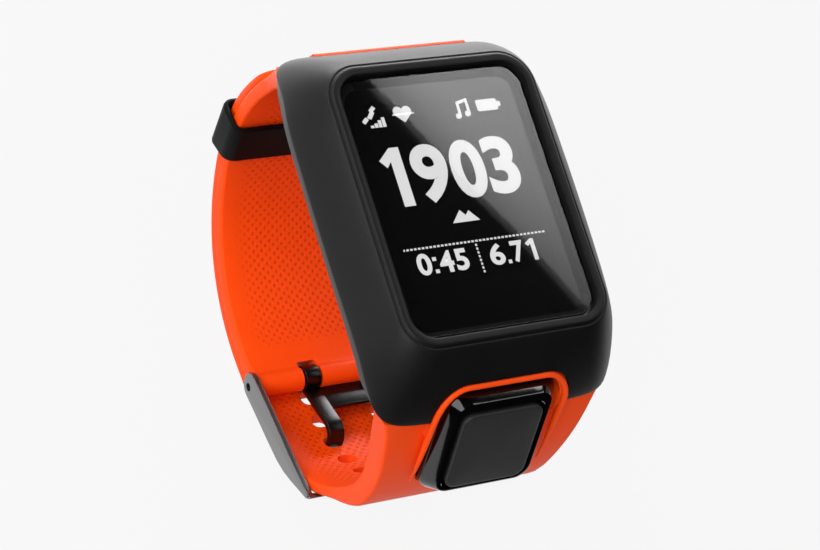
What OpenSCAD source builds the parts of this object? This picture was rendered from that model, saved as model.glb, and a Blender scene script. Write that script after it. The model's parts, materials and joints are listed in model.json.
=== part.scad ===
// Running watch with a rectangular display, a four-way button pod and a rubber strap closed
// round a wrist-sized loop.
// Frame: X across the display, Y towards 12 o'clock, Z out of the display. The origin is the
// centre of the sensor window's skin face. Lengths are in millimetres.

/* [Display and lens] */
// Width of the lit display area
display_w = 21.8; // [20:0.1:24]
// Height of the lit display area
display_h = 25.2; // [22:0.1:26]
// Width of the lens glass
lens_w = 27.8; // [26:0.1:29]
// Length of the lens glass along Y
lens_h = 36.4; // [34:0.1:38]
// How far the lens centre sits towards 6 o'clock from the display centre
lens_shift = 2.2; // [1:0.1:3]
// Thickness of the lens glass
lens_t = 1.2; // [0.8:0.1:1.5]

/* [Case module] */
// Height of the display's image plane above the skin face
display_z = 11.6; // [11:0.1:13]
// Wall thickness of the module's middle case
case_wall = 1.1; // [0.9:0.1:1.4]
// Thickness of the case back
back_t = 1.3; // [1:0.1:1.6]

/* [Bezel frame] */
// Widest half width of the bezel frame
bezel_hw = 19.8; // [19:0.1:21]
// Height of the bezel's rim above the image plane
rim_rise = 2.3; // [1.6:0.1:2.6]

/* [Strap loop] */
// Radius of the short strap's inner surface
loop_r = 24.0; // [23.8:0.1:24.2]
// Thickness of the short strap
short_t = 2.2; // [2:0.1:2.3]
// Half width of the short strap
short_hw = 13.6; // [13.2:0.1:13.7]
// Half width of the long strap at the buckle and beyond
long_hw = 13.2; // [12.8:0.1:13.3]
// Thickness of the long strap past the holes
long_t = 1.6; // [1.5:0.1:1.8]
// Thickness of the long strap beside the button pod
root_t = 3.3; // [3:0.1:3.6]
// Angle between neighbouring strap holes
hole_step = 8.3; // [7.5:0.1:9]
// Number of rows of strap holes
hole_rows = 12; // [6:1:13]

/* [Buckle] */
// Outer half width of the buckle frame
buckle_hw = 14.4; // [14.2:0.1:14.8]
// Thickness of each side plate
plate_t = 0.9; // [0.7:0.1:0.95]
// Radius of the buckle pin
pin_r = 0.6; // [0.5:0.05:0.7]
// Angle of the tang's flat arm above the row of holes
tang_angle = 29; // [27:1:31]

/* [Button pod] */
// Width of the four-way pad
pad_w = 12.4; // [11:0.1:12.6]
// Length of the four-way pad
pad_h = 12.8; // [11:0.1:13]
// Angle of the pad's face from the display plane
pod_angle = 61; // [58:1:64]

/* [Keeper] */
// Width of the keeper loop along the strap
keeper_w = 6.8; // [5.5:0.1:7.5]
// Wall thickness of the keeper loop
keeper_wall = 0.9; // [0.8:0.1:1.1]

/* [Hidden] */
$fn = 64;

orange = [1.0, 0.27, 0.04];
soft_black = [0.15, 0.15, 0.16];
gloss_black = [0.03, 0.03, 0.03];
gunmetal = [0.45, 0.45, 0.46];
board_green = [0.05, 0.28, 0.14];
gold = [0.85, 0.66, 0.25];
through = 80;

// Heights in the module
rim_z = display_z + rim_rise;
lens_top = display_z + 1.4;
lens_under = lens_top - lens_t;
back_z = 0.9;
case_floor = back_z + back_t;
case_w = lens_w + 1.2;
case_h = lens_h + 1.2;
case_r = 5.4;
lens_r = 3.2;

// Strap loop: polar about an axis along X
loop_y = -0.5;
loop_z = -10.4;
pin_a = 250.4;
short_mid = loop_r + short_t / 2;
barrel_r = 1.7;
belly_r = 29.85;
back_r = loop_r + short_t + 0.4;
keeper_r = loop_r + short_t + 0.12;
tip_a = 373;
tip_t = 1.1;
root_a = 153;
hole_a = 213.2;
tang_hole_a = hole_a + 2 * hole_step;
hole_x = 4.75;
keeper_a = -20;
bar_a = 211;
bar_t = 0.55;

// Button pod: centre of the pad's face
pod_y = -32.6;
pod_z = 0.8;
pod_hw = 8.6;
pocket_gap = 0.12;
flat_ridge = -0.6;

function ease(t) = let(c = min(1, max(0, t))) c * c * (3 - 2 * c);
function blend(a, from_a, to_a, from_v, to_v) =
    from_v + (to_v - from_v) * ease((a - from_a) / (to_a - from_a));
function polar(a, r) = [loop_y + r * cos(a), loop_z + r * sin(a)];
function inner_r(a) =
    a < 200 ? blend(a, 160, 188, 27, belly_r) :
    a < 290 ? blend(a, 215, 262, belly_r, back_r) :
    blend(a, 290, 325, back_r, keeper_r);
function strap_t(a) = a > 300 ? blend(a, 346, 369, long_t, tip_t) : blend(a, 183, 206, root_t, long_t);
function steps(from_a, to_a, count) = [for (i = [0:count]) from_a + (to_a - from_a) * i / count];
function mirrored(points) = concat(points, [for (i = [len(points) - 1:-1:0]) [-points[i][0], points[i][1]]]);

pin_at = polar(pin_a, short_mid);
bar_under = belly_r + long_t + 0.08;
bar_at = polar(bar_a, bar_under + bar_t / 2);

// Flat outline drawn in Y and Z, extruded along X about the middle
module along_x(width) {
    rotate([90, 0, 90]) linear_extrude(height = width, center = true) children();
}

// Flat outline drawn in X and Z, extruded along Y between two values
module along_y(from_y, to_y) {
    translate([0, to_y, 0]) rotate([90, 0, 0]) linear_extrude(height = to_y - from_y) children();
}

module rounded(w, h, r) {
    square([w - 2 * r, h], center = true);
    square([w, h - 2 * r], center = true);
    for (x = [-1, 1], y = [-1, 1])
        translate([x * (w / 2 - r), y * (h / 2 - r)]) circle(r = r);
}

module slab(w, h, r, from_z, to_z, y = 0) {
    translate([0, y, from_z]) linear_extrude(height = to_z - from_z) rounded(w, h, r);
}

module sector(from_a, to_a, r_in, r_out, count = 24) {
    polygon(concat(
        [for (a = steps(from_a, to_a, count)) polar(a, r_out)],
        [for (a = steps(to_a, from_a, count)) polar(a, r_in)]));
}

// Two circles and the flat sides that touch both
module link(p, q, rp, rq) {
    d = norm(q - p);
    lean = atan2(q[1] - p[1], q[0] - p[0]);
    side = acos((rp - rq) / d);
    translate(p) circle(r = rp);
    translate(q) circle(r = rq);
    polygon([
        for (s = [1, -1]) p + rp * [cos(lean + s * side), sin(lean + s * side)],
        for (s = [-1, 1]) q + rq * [cos(lean + s * side), sin(lean + s * side)]]);
}

module at_pin(x_from, x_to, r) {
    translate([x_from, pin_at[0], pin_at[1]]) rotate([0, 90, 0]) cylinder(r = r, h = x_to - x_from);
}

module at_pod() {
    translate([0, pod_y, pod_z]) rotate([pod_angle, 0, 0]) children();
}

// ---- bezel frame ----
bezel_plan = [
    [13.8, 23.2], [17.05, 21.9], [18.7, 17.5], [19.6, 11.9], [bezel_hw, 2], [bezel_hw, -8],
    [19.5, -15.8], [19.2, -19.9], [18.6, -23.4], [18.0, -25.7], [16.7, -27.6], [13.5, -28.6]
];
bezel_side = [
    [-28.9, 4.1], [-28.7, 5.2], [-27.8, 6.8], [-23.4, 12.6], [-22.3, rim_z - 0.25], [-21.6, rim_z],
    [17.2, rim_z], [17.9, rim_z - 0.3], [20.4, 9.9], [22.7, 6.2], [23.3, 4.9], [23.2, 4.1],
    [20.8, 3.6], [17.2, 5.8], [12.5, 6.3], [-15.8, 6.1], [-20, 5.2], [-23.4, 4.1]
];
bezel_front = [
    [15.0, rim_z], [15.8, rim_z - 0.35], [19.1, 9.7], [bezel_hw, 8.4], [19.3, 6.2], [17, 3.5]
];

module bezel_frame() {
    color(soft_black) difference() {
        intersection() {
            linear_extrude(height = through) polygon(mirrored(bezel_plan));
            along_x(through) polygon(bezel_side);
            along_y(-through / 2, through / 2) polygon(mirrored(bezel_front));
        }
        slab(lens_w + 0.3, lens_h + 0.3, lens_r + 0.15, 0, through, -lens_shift);
        slab(case_w + 0.3, case_h + 0.3, case_r, 0, lens_under - 0.3, -lens_shift);
        // Cut-out for the button pod and its trim lip
        along_y(-through / 2, -20.9) translate([0, 0.25]) rounded(20.9, 18, 4.4);
        // Hollow over the strap roots' tongues
        translate([0, -through / 2 - 20.9, -through / 2 + 5.9])
            cube([27, through, through], center = true);
        translate([0, through / 2 + 16.8, -through / 2 + 5.9])
            cube([27, through, through], center = true);
        // Step between the two ears at 12 o'clock
        translate([0, through / 2 + 22.15, 0]) cube([23.7, through, through], center = true);
    }
}

// ---- straps ----
module long_profile() {
    polygon(concat(
        [[-21.2, 3.4], [-21.2, 0.6]],
        [for (a = steps(160, 212, 20)) polar(a, inner_r(a))],
        [for (a = steps(215, 262, 20)) polar(a, inner_r(a))],
        [for (a = steps(268, tip_a, 30)) polar(a, inner_r(a))],
        [polar(tip_a + 2, keeper_r + tip_t / 2)],
        [for (a = steps(tip_a, 268, 30)) polar(a, inner_r(a) + strap_t(a))],
        [for (a = steps(262, 215, 20)) polar(a, inner_r(a) + strap_t(a))],
        [for (a = steps(212, 183, 12)) polar(a, inner_r(a) + strap_t(a))],
        [for (a = steps(178, root_a, 5)) polar(a, 33.0 - (183 - a) * 0.076)],
        [[-28.1, 4.0], [-21.2, 4.0]]));
}

long_widths = [
    [16.9, 4.2], [16.7, 3.9], [15.85, 1.2], [15.44, -0.85], [14.96, -3.4], [14.46, -6.3],
    [14.08, -9.5], [13.8, -13], [long_hw, -21.5], [long_hw, -through / 2]
];

module strap_hole(a, x) {
    r = inner_r(a) + strap_t(a) / 2;
    p = polar(a, r);
    translate([x, p[0], p[1]]) rotate([a - 90, 0, 0]) linear_extrude(height = 5, center = true) {
        square([0.6, 2.4], center = true);
        for (s = [-1, 1]) translate([s * 0.3, 0]) circle(r = 1.2);
    }
}

module pod_pocket(gap) {
    w = 2 * (pod_hw + gap);
    translate([0, 0.45, -4.2 - gap]) linear_extrude(height = 12) rounded(w, 17.0 + 2 * gap, 2.4);
}

module neck_path(gap) {
    translate([0, -20.0, 4.1]) cube([14 + 2 * gap, 16, 3.4 + 2 * gap], center = true);
}

module trim_lip() {
    difference() {
        along_y(-29.6, -21.1) translate([0, 0.15]) rounded(20.6, 18, 4.3);
        along_y(-31, -20) translate([0, -0.8]) rounded(17.7, 17.4, 3.2);
        // Front follows the bezel's slope a little proud of it
        translate([0, -27.1, 9.6]) rotate([-38, 0, 0]) translate([0, -through / 2, 0])
            cube([through, through, through], center = true);
        translate([0, 0, -through / 2 + 3.8]) cube([through, through, through], center = true);
    }
}

module long_strap() {
    color(orange) difference() {
        union() {
            intersection() {
                along_x(through) long_profile();
                along_y(-through / 2, through) polygon(mirrored(long_widths));
                union() {
                    translate([0, -through / 2 + 10, 0]) cube([through, through, 200], center = true);
                    tip_shape();
                }
            }
            trim_lip();
        }
        at_pod() pod_pocket(pocket_gap);
        neck_path(pocket_gap + 1);
        for (row = [0:hole_rows - 1], x = [-hole_x, hole_x])
            strap_hole(hole_a + row * hole_step, x);
    }
}

// Round end of the long strap, seen from the 12 o'clock side
module tip_shape() {
    along_y(9, through) {
        translate([0, -through / 2 - 9]) square([2 * long_hw, through], center = true);
        intersection() {
            translate([0, -14.0]) circle(r = 15.5);
            square([2 * long_hw, through], center = true);
        }
    }
}

short_widths = [[16, 4.6], [15.8, 2.5], [14.4, -1.4], [short_hw, -4.5], [short_hw, -through / 2]];
slot_w = 3.1;
// Extra thickness of the short strap where it meets the case
root_rise = 0.5;
slot_depth = 2.3;

module short_profile() {
    polygon(concat(
        [[17.0, 3.4], [17.0, 1.2]],
        [for (a = steps(384, pin_a + 2, 50)) polar(a, loop_r)],
        [for (a = steps(pin_a + 2, 388, 50)) polar(a, loop_r + short_t + blend(a, 374.5, 388, 0, root_rise))],
        [[22.0, 3.4]]));
}

module short_strap() {
    color(orange) difference() {
        union() {
            intersection() {
                along_x(through) short_profile();
                along_y(-through / 2, through) polygon(mirrored(short_widths));
            }
            at_pin(-short_hw + 0.3, short_hw - 0.3, barrel_r);
            // Tongue that fills the step between the case's ears
            along_x(23.2) polygon([
                [20.3, 0.6], [20.3, 3.8], [21.6, 5.3], [22.2, 5.5], [22.35, 6.5],
                [22.75, 6.5], [23.1, 6.0], [23.25, 5.0], [23.15, 3.0], [22.4, 1.0]
            ]);
        }
        at_pin(-through / 2, through / 2, pin_r + 0.05);
        // Slots for the tang's knuckles, and room for the side plates
        for (x = [-hole_x, hole_x])
            translate([x, pin_at[0] - 0.9, pin_at[1]]) cube([slot_w, 2 * slot_depth + 1.8, 12], center = true);
        for (s = [-1, 1])
            at_pin(s > 0 ? short_hw - 0.3 : -through / 2, s > 0 ? through / 2 : -short_hw + 0.3, 2.6);
    }
}

module keeper_loop() {
    half = asin(keeper_w / 2 / (loop_r + 2));
    play = 0.2;
    hw_in = short_hw + 0.15;
    r_low = loop_r - play;
    r_high = keeper_r + long_t + play;
    color(soft_black) difference() {
        along_x(2 * (hw_in + keeper_wall))
            sector(keeper_a - half, keeper_a + half, r_low - keeper_wall, r_high + keeper_wall, 8);
        along_x(2 * hw_in) sector(keeper_a - 3 * half, keeper_a + 3 * half, r_low, r_high, 24);
    }
}

// ---- buckle ----
module buckle_frame() {
    knee = [-20.2, -30.4];
    color(gunmetal) difference() {
        union() {
            for (s = [-1, 1]) translate([s * (buckle_hw - plate_t / 2), 0, 0]) along_x(plate_t) {
                link(pin_at + [-0.15, 0.45], knee, 1.95, 1.82);
                link(knee, bar_at, 1.82, 0.55);
            }
            along_x(2 * buckle_hw - plate_t)
                sector(bar_a - 1.5, bar_a + 1.5, bar_under, bar_under + bar_t, 3);
        }
        at_pin(-through / 2, through / 2, pin_r + 0.04);
    }
}

module buckle_pin() {
    color(gunmetal) at_pin(-buckle_hw + 0.1, buckle_hw - 0.1, pin_r);
}

tang_t = 0.9;
knuckle_r = 1.7;
tang_lean = 180 - tang_angle;
bend_r = 1.9;
bend_end = 250;
arm_len = 8.2;

module tang_side() {
    start = pin_at - (knuckle_r - tang_t / 2) * [sin(tang_angle), cos(tang_angle)];
    elbow = start + arm_len * [cos(tang_lean), sin(tang_lean)];
    centre = elbow + bend_r * [cos(tang_lean + 90), sin(tang_lean + 90)];
    tip = centre + bend_r * [cos(bend_end - 90), sin(bend_end - 90)];
    half = tang_t / 2;
    across = half * [cos(tang_lean + 90), sin(tang_lean + 90)];
    polygon(concat(
        [start - across, elbow - across],
        [for (a = steps(tang_lean - 90, bend_end - 90, 10)) centre + (bend_r + half) * [cos(a), sin(a)]],
        [tip + 1.0 * [cos(bend_end), sin(bend_end)] + half * [cos(bend_end - 90), sin(bend_end - 90)],
         tip + 1.3 * [cos(bend_end), sin(bend_end)],
         tip + 1.0 * [cos(bend_end), sin(bend_end)] - half * [cos(bend_end - 90), sin(bend_end - 90)]],
        [for (a = steps(bend_end - 90, tang_lean - 90, 10)) centre + (bend_r - half) * [cos(a), sin(a)]],
        [elbow + across, start + across]));
}

module buckle_tang() {
    prong_w = 2.4;
    color(gloss_black) difference() {
        union() {
            for (x = [-hole_x, hole_x]) translate([x, 0, 0]) {
                along_x(prong_w) tang_side();
                at_pin(-prong_w / 2, prong_w / 2, knuckle_r);
            }
            intersection() {
                along_x(2 * hole_x) tang_side();
                translate([0, pin_at[0] - 3.6, pin_at[1]]) cube([through, 3.4, 20], center = true);
            }
        }
        at_pin(-through / 2, through / 2, pin_r + 0.04);
    }
}

// ---- case module ----
module lens_glass() {
    color([0.02, 0.02, 0.02, 0.5]) slab(lens_w, lens_h, lens_r, lens_under, lens_top, -lens_shift);
}

module lens_gasket() {
    color(gloss_black) difference() {
        slab(lens_w, lens_h, lens_r, lens_under - 0.3, lens_under, -lens_shift);
        slab(lens_w - 2.4, lens_h - 2.4, lens_r - 1.2, 0, through, -lens_shift);
    }
}

module display_panel() {
    color([0.06, 0.06, 0.06]) slab(display_w + 1.6, display_h + 3.2, 0.4, display_z - 1.4, display_z, -0.6);
}

module backlight_guide() {
    color("white") slab(display_w + 1.2, display_h + 2.6, 0.4, display_z - 2.3, display_z - 1.5, -0.6);
}

module module_case() {
    color(soft_black) difference() {
        union() {
            slab(case_w, case_h, case_r, case_floor + 2.6, lens_under - 0.3, -lens_shift);
            slab(case_w - 1.6, case_h - 1.6, case_r - 0.6, case_floor, case_floor + 2.6, -lens_shift);
        }
        slab(case_w - 2 * case_wall - 1.6, case_h - 2 * case_wall - 1.6, 3.6,
            case_floor - 1, display_z - 0.4, -lens_shift);
        slab(display_w + 1.9, display_h + 3.5, 0.5, display_z - 2, through, -0.6);
        // Way out for the button cable
        translate([0, -20, 4.2]) cube([8.4, 8, 1.2], center = true);
    }
    color(soft_black) for (x = [-1, 1], y = [-1, 1]) difference() {
        translate([x * 10.9, y * 13.6 - lens_shift, case_floor]) cylinder(r = 1.5, h = 3.6);
        translate([x * 10.9, y * 13.6 - lens_shift, case_floor - 1]) cylinder(r = 0.55, h = 4);
    }
}

module case_back() {
    color(soft_black) difference() {
        union() {
            slab(case_w - 1.6, case_h - 1.6, case_r - 0.6, back_z, case_floor - 0.15, -lens_shift);
            slab(17.6, 20.6, 6.5, 0.25, back_z + 0.1);
        }
        slab(13.2, 10.2, 2.6, -1, 1.35);
        slab(10, 7, 1.8, -1, through);
        for (x = [-1, 1], y = [-1, 1]) translate([x * 10.9, y * 13.6 - lens_shift, 0]) {
            cylinder(r = 0.7, h = through);
            cylinder(r = 1.3, h = back_z + 0.7);
        }
        for (i = [-1.5:1:1.5]) translate([i * 2.6, -15.4, 0]) cylinder(r = 0.86, h = through);
    }
}

module back_gasket() {
    color(gloss_black) difference() {
        slab(case_w - 1.8, case_h - 1.8, 4.7, case_floor - 0.15, case_floor, -lens_shift);
        slab(case_w - 3.2, case_h - 3.2, 4.0, 0, through, -lens_shift);
    }
}

module back_screws() {
    color(gunmetal) for (x = [-1, 1], y = [-1, 1])
        translate([x * 10.9, y * 13.6 - lens_shift, 0]) difference() {
            union() {
                translate([0, 0, back_z + 0.1]) cylinder(r = 1.15, h = 0.6);
                translate([0, 0, back_z + 0.1]) cylinder(r = 0.5, h = 3.6);
            }
            for (turn = [0, 90]) rotate([0, 0, turn])
                translate([0, 0, back_z]) cube([1.3, 0.28, 0.7], center = true);
        }
}

module sensor_window() {
    color([0.05, 0.03, 0.04, 0.6]) slab(13, 10, 2.5, 0, 1.3);
}

module sensor_board() {
    color(board_green) slab(13.4, 11, 1, 2.6, 3.2);
}

module sensor_leds() {
    color("palegreen") for (x = [-3.3, 3.3]) translate([x, 0, 2.1]) cube([1.8, 1.8, 1.0], center = true);
}

module photodiode() {
    color("darkslateblue") translate([0, 0, 2.15]) cube([2.8, 2.8, 0.9], center = true);
}

module battery() {
    color("silver") slab(18.2, 22, 1.2, 3.4, 6.5, 0.2);
    color("gold") translate([0, 11.7, 5]) cube([6, 1.0, 1.2], center = true);
}

module main_board() {
    color(board_green) difference() {
        slab(24.4, 32.4, 3.2, 6.8, 7.5, -lens_shift);
        for (x = [-1, 1], y = [-1, 1])
            translate([x * 12.2, y * 16.2 - lens_shift, 7]) cylinder(r = 1.5, h = 4, center = true);
    }
}

module board_chips() {
    color("dimgray") {
        translate([-6.6, -13.4, 8.0]) cube([5.2, 5.2, 1.0], center = true);
        translate([0.8, -13.8, 7.9]) cube([4.2, 3.4, 0.8], center = true);
        translate([6.8, -13.2, 7.85]) cube([3.2, 4.0, 0.7], center = true);
        for (i = [0:5]) translate([-9.4 + 1.4 * i, 8.6, 7.72]) cube([0.6, 1.1, 0.44], center = true);
    }
}

module shield_can() {
    color("silver") difference() {
        slab(17, 13, 0.8, 7.5, 8.9, -3.2);
        slab(16.6, 12.6, 0.6, 7, 8.7, -3.2);
    }
}

module gps_antenna() {
    color("tan") translate([5.6, 7.6, 8.25]) cube([8, 6.2, 1.5], center = true);
}

module radio_antenna() {
    color(gold) for (i = [0:3])
        translate([-3.4 + 1.1 * i, 11.4, 7.65]) cube([0.5, 3.0, 0.3], center = true);
}

module pressure_sensor() {
    color("silver") translate([-9.2, 5.4, 8.0]) difference() {
        cylinder(r = 1.3, h = 1.0, center = true);
        translate([0, 0, 0.3]) cylinder(r = 0.4, h = 1.0, center = true);
    }
}

motor_at = [0, -14.6, 3.5];

module motor_can() {
    color("silver") translate(motor_at) difference() {
        cylinder(r = 3.3, h = 2.8);
        translate([0, 0, 0.3]) cylinder(r = 3.0, h = 2.2);
    }
    color("silver") translate(motor_at) cylinder(r = 0.3, h = 2.8);
}

module motor_weight() {
    color("dimgray") translate([motor_at[0], motor_at[1], motor_at[2] + 0.6]) difference() {
        union() {
            cylinder(r = 0.9, h = 1.6);
            intersection() {
                cylinder(r = 2.7, h = 1.6);
                translate([0, 2, 1]) cube([8, 4, 4], center = true);
            }
        }
        translate([0, 0, -1]) cylinder(r = 0.35, h = 4);
    }
}

module charging_contacts() {
    color(gold) for (i = [-1.5:1:1.5]) translate([i * 2.6, -15.4, back_z + 0.1]) {
        cylinder(r = 0.8, h = 1.2);
    }
}

// ---- button pod ----
module button_pod() {
    color(gloss_black) difference() {
        union() {
            at_pod() intersection() {
                translate([0, 0.45, -4.1]) linear_extrude(height = 4.1 + flat_ridge) rounded(2 * pod_hw, 16.9, 2.3);
                rotate([90, 0, 0]) linear_extrude(height = 20, center = true)
                    polygon(mirrored([[7.1, flat_ridge], [pod_hw, -2.6], [pod_hw, -4.1]]));
                rotate([90, 0, 90]) linear_extrude(height = 20, center = true)
                    polygon([[-8.0, -4.1], [-8.0, -2.6], [-7.2, flat_ridge], [7.95, flat_ridge], [8.9, -2.6], [8.9, -4.1]]);
            }
            translate([0, -24.0, 4.1]) cube([14, 6.0, 3.2], center = true);
        }
        at_pod() translate([0, 0, -3.6]) linear_extrude(height = 8) rounded(pad_w + 0.5, pad_h + 0.5, 1.8);
        translate([0, -24.4, 4.1]) cube([8.0, 7.4, 1.0], center = true);
    }
}

module button_board() {
    color(board_green) at_pod() {
        translate([0, 0, -3.58]) linear_extrude(height = 0.5) rounded(12.2, 12.4, 1.4);
        translate([0, 0, -3.1]) cylinder(r = 0.6, h = 0.86);
    }
}

module dome_switches() {
    color("silver") at_pod() for (turn = [0:90:270]) rotate([0, 0, turn])
        translate([4.1, 0, -3.08]) cylinder(r = 1.5, h = 0.32);
}

module button_flex() {
    color("peru") {
        translate([-2.5, -26.5, 4.0]) cube([5, 8.5, 0.2]);
        translate([-2.5, -18.2, 4.0]) cube([5, 0.2, 2.7]);
    }
}

module rocker_plate() {
    color("gray") at_pod() translate([0, 0, -2.2]) linear_extrude(height = 0.45) rounded(11.2, 11.6, 1.2);
}

module button_pad() {
    color([0.22, 0.22, 0.22]) at_pod() {
        translate([0, 0, -1.38]) linear_extrude(height = 1.2) rounded(pad_w, pad_h, 1.6);
        translate([0, 0, -0.18]) linear_extrude(height = 0.18) rounded(pad_w - 0.8, pad_h - 0.8, 1.2);
        translate([0, 0, -1.56]) cube([0.7, 9, 0.36], center = true);
    }
}

bezel_frame();
long_strap();
short_strap();
keeper_loop();
buckle_frame();
buckle_pin();
buckle_tang();
lens_glass();
lens_gasket();
display_panel();
backlight_guide();
module_case();
case_back();
back_gasket();
back_screws();
sensor_window();
sensor_leds();
photodiode();
sensor_board();
main_board();
board_chips();
shield_can();
gps_antenna();
radio_antenna();
pressure_sensor();
battery();
motor_can();
motor_weight();
charging_contacts();
button_pod();
button_board();
dome_switches();
button_flex();
rocker_plate();
button_pad();
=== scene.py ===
import json
import math

import bmesh
import bpy
from mathutils import Matrix, Vector


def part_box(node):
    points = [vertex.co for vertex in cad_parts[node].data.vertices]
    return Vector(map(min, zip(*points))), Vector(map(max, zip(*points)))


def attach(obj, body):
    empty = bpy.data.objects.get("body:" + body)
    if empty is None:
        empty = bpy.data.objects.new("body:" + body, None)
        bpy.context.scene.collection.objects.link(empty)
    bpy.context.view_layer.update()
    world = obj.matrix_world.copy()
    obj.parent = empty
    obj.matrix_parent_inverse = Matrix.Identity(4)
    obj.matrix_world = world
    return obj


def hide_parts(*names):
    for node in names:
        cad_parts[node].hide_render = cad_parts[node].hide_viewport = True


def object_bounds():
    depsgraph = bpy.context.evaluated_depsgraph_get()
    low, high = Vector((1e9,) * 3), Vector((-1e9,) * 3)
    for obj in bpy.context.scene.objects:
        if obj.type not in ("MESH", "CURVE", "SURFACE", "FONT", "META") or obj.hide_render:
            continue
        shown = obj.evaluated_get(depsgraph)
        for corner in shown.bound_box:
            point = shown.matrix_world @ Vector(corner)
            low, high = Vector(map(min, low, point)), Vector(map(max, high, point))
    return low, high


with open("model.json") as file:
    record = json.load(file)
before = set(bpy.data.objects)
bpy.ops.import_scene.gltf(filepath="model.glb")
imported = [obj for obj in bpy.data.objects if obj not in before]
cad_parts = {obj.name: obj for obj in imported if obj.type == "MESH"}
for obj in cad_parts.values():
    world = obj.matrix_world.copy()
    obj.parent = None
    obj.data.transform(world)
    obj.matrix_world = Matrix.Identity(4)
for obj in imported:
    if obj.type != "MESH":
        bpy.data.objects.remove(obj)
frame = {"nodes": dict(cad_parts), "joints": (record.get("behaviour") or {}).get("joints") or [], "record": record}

# A running watch, built in millimetres and brought to metres when each piece is finished.
# X runs across the display, Y towards 12 o'clock and Z out of the display.
MM = 0.001
CAD_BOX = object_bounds()
SCENE = bpy.context.scene


# ---------------------------------------------------------------- sizes
def node_box(node):
    """A CAD node's lowest and highest corner, in millimetres."""
    low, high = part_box(node)
    return low / MM, high / MM


def joint_point(name):
    """Where a joint's axis is, in millimetres."""
    joint = next(j for j in frame["joints"] if j["name"] == name)
    return Vector(joint["pos_m"]) / MM


LENS_LOW, LENS_HIGH = node_box("lens_glass")
LENS_X = LENS_HIGH.x
LENS_Y = (LENS_HIGH.y - LENS_LOW.y) / 2
LENS_MID = (LENS_HIGH.y + LENS_LOW.y) / 2
LENS_TOP = LENS_HIGH.z
LENS_UNDER = LENS_LOW.z
LENS_CORNER = 3.2
RIM_Z = node_box("bezel_frame")[1].z
IMAGE_Z = node_box("display_panel")[1].z
PIN = joint_point("buckle_swing")
LOOP = joint_point("keeper_slide")

# The strap's loop is polar about LOOP
SHORT_R = 24.0
SHORT_T = 2.2
SHORT_HW = 13.6
LONG_HW = 13.2
LONG_T = 1.6
ROOT_T = 3.3
BELLY_R = 29.85
BACK_R = SHORT_R + SHORT_T + 0.4
KEEPER_R = SHORT_R + SHORT_T + 0.12
PIN_A = 250.4
BARREL_R = 1.7
ROOT_A = 153
TIP_A = 373
HOLE_A = 213.2
HOLE_STEP = 8.3
HOLE_ROWS = 12
HOLE_X = 4.75
TIP_T = 1.1
KEEPER_A = -20

# Button pod: middle of the pad's face and its lean
POD = Vector((0, -32.6, 0.8))
POD_ANGLE = math.radians(61)
POD_FRAME = Matrix.Translation(POD) @ Matrix.Rotation(POD_ANGLE, 4, "X")


def ease(t):
    t = min(1, max(0, t))
    return t * t * (3 - 2 * t)


def blend(a, from_a, to_a, from_v, to_v):
    return from_v + (to_v - from_v) * ease((a - from_a) / (to_a - from_a))


def inner_r(a):
    """Radius of the long strap's inner face at angle a."""
    if a < 200:
        return blend(a, 160, 188, 27, BELLY_R)
    if a < 290:
        return blend(a, 215, 262, BELLY_R, BACK_R)
    return blend(a, 290, 325, BACK_R, KEEPER_R)


def outer_r(a):
    """Radius of the long strap's outer face at angle a."""
    if a < 183:
        return 33.0 - (183 - a) * 0.076
    if a > 300:
        return inner_r(a) + blend(a, 346, 369, LONG_T, TIP_T)
    return inner_r(a) + blend(a, 183, 206, ROOT_T, LONG_T)


def polar(a, r, x=0.0):
    a = math.radians(a)
    return Vector((x, LOOP.y + r * math.cos(a), LOOP.z + r * math.sin(a)))


def lookup(table, value):
    """Straight-line reading of a table of (value, result) pairs in rising order."""
    if value <= table[0][0]:
        return table[0][1]
    for (a, p), (b, q) in zip(table, table[1:]):
        if value <= b:
            return p + (q - p) * (value - a) / (b - a)
    return table[-1][1]


LONG_WIDTHS = [
    (-21.5, LONG_HW), (-13, 13.8), (-9.5, 14.08), (-6.3, 14.46), (-3.4, 14.96),
    (-0.85, 15.44), (1.2, 15.85), (3.9, 16.7), (4.2, 16.9),
]
SHORT_WIDTHS = [(-4.5, SHORT_HW), (-1.4, 14.4), (2.5, 15.8), (4.6, 16)]


def steps(start, stop, count):
    return [start + (stop - start) * i / count for i in range(count + 1)]


# ---------------------------------------------------------------- finishes
class Value:
    """A shader socket that Python's own operators work on."""

    def __init__(self, finish, socket):
        self.finish = finish
        self.socket = socket

    def maths(self, operation, *values):
        return self.finish.node("ShaderNodeMath", {"operation": operation}, dict(enumerate(values)))

    def __add__(self, other):
        return self.maths("ADD", self, other)

    def __sub__(self, other):
        return self.maths("SUBTRACT", self, other)

    def __rsub__(self, other):
        return self.maths("SUBTRACT", other, self)

    def __mul__(self, other):
        return self.maths("MULTIPLY", self, other)

    def __truediv__(self, other):
        return self.maths("DIVIDE", self, other)

    def __gt__(self, other):
        return self.maths("GREATER_THAN", self, other)

    def wave(self):
        return self.maths("COSINE", self)

    def most(self, other):
        return self.maths("MAXIMUM", self, other)

    __radd__ = __add__
    __rmul__ = __mul__


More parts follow.
